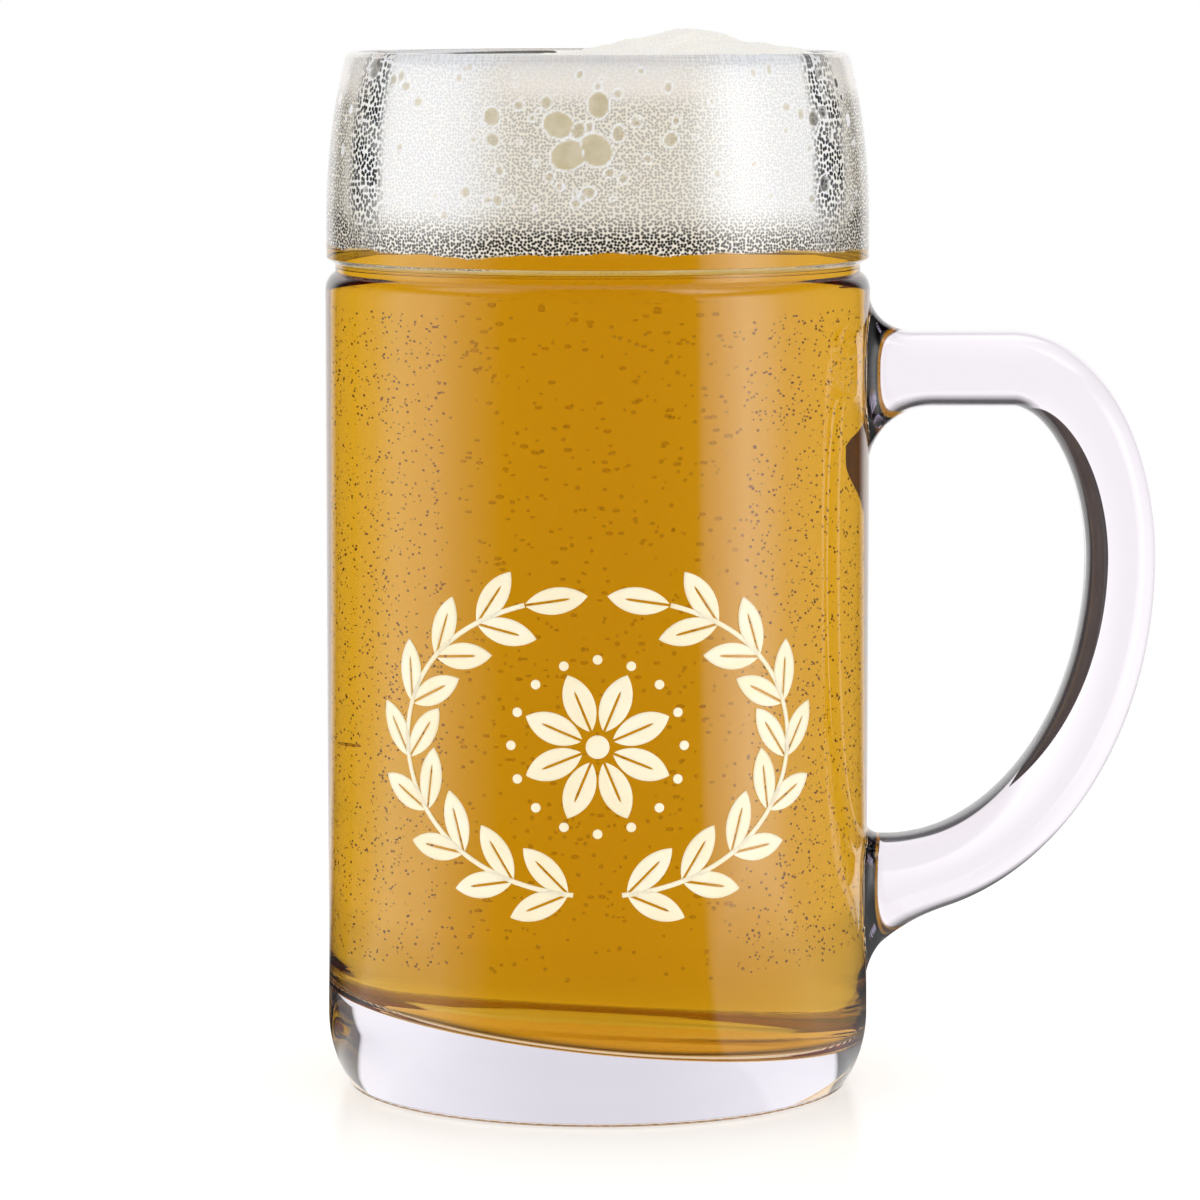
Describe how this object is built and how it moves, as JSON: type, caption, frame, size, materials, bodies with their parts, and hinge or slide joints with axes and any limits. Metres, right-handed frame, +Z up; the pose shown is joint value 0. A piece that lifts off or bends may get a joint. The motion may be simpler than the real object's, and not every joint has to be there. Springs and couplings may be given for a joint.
{
  "type": "beer mug",
  "caption": "Tall cylindrical glass beer mug with a neck groove, drawn-in lip, thick foot and looped fused handle, filled with golden beer under a foam head.",
  "frame": {"origin": "on the mug's axis, on the plane of the standing ring under its foot", "axes": "+Z up along the mug's axis, +X from the axis towards the handle, the printed ornament on the -Y side"},
  "size_m": [0.1606, 0.1052, 0.205],
  "materials": {
    "clear_glass": "polished",
    "handle_glass": "polished",
    "beer": "polished",
    "foam": "matte",
    "enamel_print": "satin"
  },
  "bodies": {
    "root": {"mug_body": "clear_glass", "handle": "handle_glass", "beer": "beer", "foam_head": "foam", "printed_ornament": "enamel_print"}
  },
  "joints": []
}
